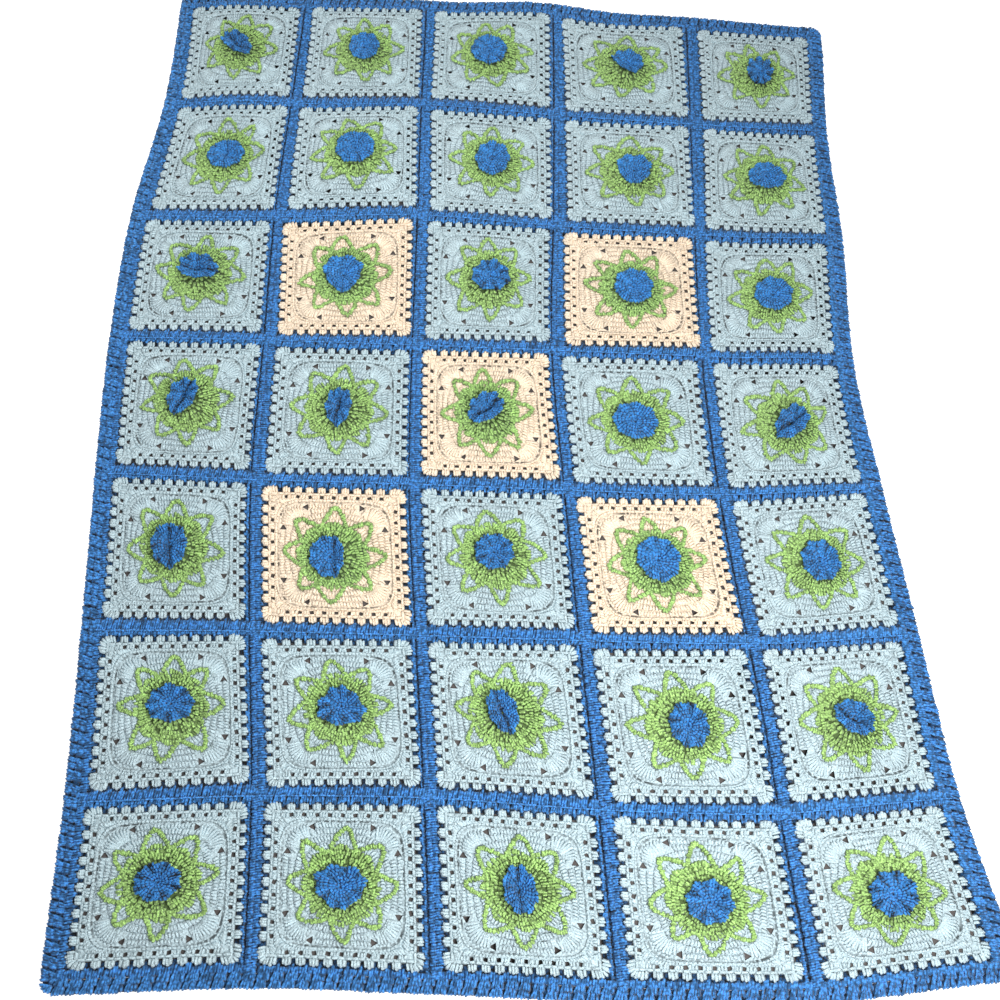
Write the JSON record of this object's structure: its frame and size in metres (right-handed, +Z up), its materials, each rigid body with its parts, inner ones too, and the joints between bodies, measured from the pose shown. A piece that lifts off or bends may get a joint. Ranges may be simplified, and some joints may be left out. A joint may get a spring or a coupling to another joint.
{
  "type": "granny square blanket",
  "caption": "Crocheted lap blanket of flower granny squares with leaf stars, joined by raised seams and bordered, lying flat with low folds",
  "frame": {"origin": "centre of the underside's bounding box, on the surface the blanket lies on", "axes": "+X to the right across the blanket, +Y along it towards its far edge, +Z up out of its face side"},
  "size_m": [1.0651, 1.4522, 0.0325],
  "materials": {
    "pale_blue_yarn": "matt twisted yarn, solid and open crochet",
    "peach_yarn": "matt twisted yarn, solid and open crochet",
    "mid_blue_yarn": "matt twisted yarn, close crochet"
  },
  "bodies": {
    "root": {"square_r1_c1": "pale_blue_yarn", "square_r1_c2": "pale_blue_yarn", "square_r1_c3": "pale_blue_yarn", "square_r1_c4": "pale_blue_yarn", "square_r1_c5": "pale_blue_yarn", "square_r2_c1": "pale_blue_yarn", "square_r2_c2": "pale_blue_yarn", "square_r2_c3": "pale_blue_yarn", "square_r2_c4": "pale_blue_yarn", "square_r2_c5": "pale_blue_yarn", "square_r3_c1": "pale_blue_yarn", "square_r3_c2": "peach_yarn", "square_r3_c3": "pale_blue_yarn", "square_r3_c4": "peach_yarn", "square_r3_c5": "pale_blue_yarn", "square_r4_c1": "pale_blue_yarn", "square_r4_c2": "pale_blue_yarn", "square_r4_c3": "peach_yarn", "square_r4_c4": "pale_blue_yarn", "square_r4_c5": "pale_blue_yarn", "square_r5_c1": "pale_blue_yarn", "square_r5_c2": "peach_yarn", "square_r5_c3": "pale_blue_yarn", "square_r5_c4": "peach_yarn", "square_r5_c5": "pale_blue_yarn", "square_r6_c1": "pale_blue_yarn", "square_r6_c2": "pale_blue_yarn", "square_r6_c3": "pale_blue_yarn", "square_r6_c4": "pale_blue_yarn", "square_r6_c5": "pale_blue_yarn", "square_r7_c1": "pale_blue_yarn", "square_r7_c2": "pale_blue_yarn", "square_r7_c3": "pale_blue_yarn", "square_r7_c4": "pale_blue_yarn", "square_r7_c5": "pale_blue_yarn", "joining_bands": "mid_blue_yarn", "border": "mid_blue_yarn"}
  },
  "joints": []
}
